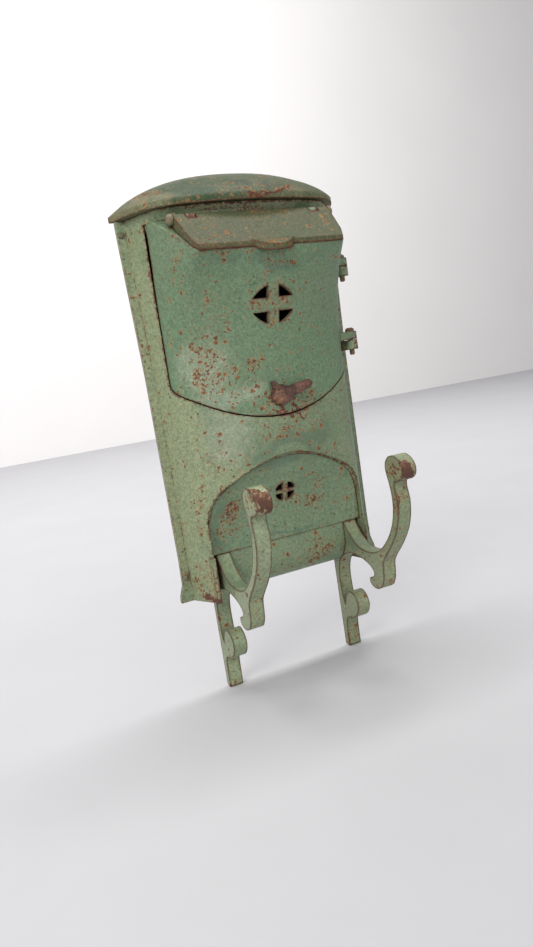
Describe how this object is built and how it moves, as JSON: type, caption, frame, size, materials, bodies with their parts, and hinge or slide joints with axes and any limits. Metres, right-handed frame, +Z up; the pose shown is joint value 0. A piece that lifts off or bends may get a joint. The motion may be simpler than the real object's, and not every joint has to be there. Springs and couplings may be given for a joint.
{
  "type": "wall mounted mailbox",
  "caption": "Cast wall mailbox with an arched hood, bowed body, hinged door carrying a sloping mail flap and a turn latch, and scroll brackets below for newspapers.",
  "frame": {"origin": "on the flat back of the back plate that lies on the wall, on the vertical centre line, 0.123 m above the body's bottom edge", "axes": "+X to the right as seen from the front, +Y into the wall, the front faces -Y, +Z up"},
  "size_m": [0.163, 0.1034, 0.3478],
  "materials": {
    "back_plate": "bare dark rolled plate, lightly rusted",
    "body_shell": "worn sage green paint over cast iron",
    "bottom_panel": "worn teal green paint over cast iron",
    "hood": "worn green paint over cast iron",
    "door": "worn green paint over cast iron with pale weathering and rust",
    "door_pin_upper": "rusted pin",
    "door_pin_lower": "rusted pin",
    "lid": "worn olive green paint",
    "lid_pin_left": "rusted pin",
    "lid_pin_right": "rusted pin",
    "latch_knob": "bare reddish brown rusted iron",
    "latch_spindle": "dull",
    "latch_washer": "dull",
    "latch_cam": "dull",
    "latch_nut": "dull",
    "hook_left": "worn sage green paint, rusted ends",
    "hook_right": "worn sage green paint, heavily rusted arm",
    "hook_rivet_left_lower": "dull rusted rivet",
    "hook_rivet_left_upper": "dull rusted rivet",
    "hook_rivet_right_lower": "dull rusted rivet",
    "hook_rivet_right_upper": "dull rusted rivet",
    "hood_screw_left": "dull",
    "hood_screw_right": "dull",
    "flange_rivet_top_left": "painted over rivet head",
    "flange_rivet_top_right": "painted over rivet head",
    "flange_rivet_bottom_left": "painted over rivet head",
    "flange_rivet_bottom_right": "painted over rivet head"
  },
  "bodies": {
    "body": {"back_plate": "back_plate", "body_shell": "body_shell", "bottom_panel": "bottom_panel", "hood": "hood", "hook_left": "hook_left", "hook_right": "hook_right", "door_pin_upper": "door_pin_upper", "door_pin_lower": "door_pin_lower", "hook_rivet_left_lower": "hook_rivet_left_lower", "hook_rivet_left_upper": "hook_rivet_left_upper", "hook_rivet_right_lower": "hook_rivet_right_lower", "hook_rivet_right_upper": "hook_rivet_right_upper", "hood_screw_left": "hood_screw_left", "hood_screw_right": "hood_screw_right", "flange_rivet_top_left": "flange_rivet_top_left", "flange_rivet_top_right": "flange_rivet_top_right", "flange_rivet_bottom_left": "flange_rivet_bottom_left", "flange_rivet_bottom_right": "flange_rivet_bottom_right"},
    "door": {"door": "door", "latch_washer": "latch_washer"},
    "lid": {"lid": "lid", "lid_pin_left": "lid_pin_left", "lid_pin_right": "lid_pin_right"},
    "latch": {"latch_knob": "latch_knob", "latch_spindle": "latch_spindle", "latch_cam": "latch_cam", "latch_nut": "latch_nut"}
  },
  "joints": [
    {"name": "door_swing", "type": "hinge", "parent": "body", "child": "door", "pos_m": [0.073, -0.02, 0.06], "axis": [0, 0, 1], "range_deg": [0, 105]},
    {"name": "lid_lift", "type": "hinge", "parent": "door", "child": "lid", "pos_m": [0, -0.041, 0.1205], "axis": [-1, 0, 0], "range_deg": [0, 85]},
    {"name": "latch_turn", "type": "hinge", "parent": "door", "child": "latch", "pos_m": [0, -0.042, 0.0065], "axis": [0, -1, 0], "range_deg": [0, 90]}
  ]
}
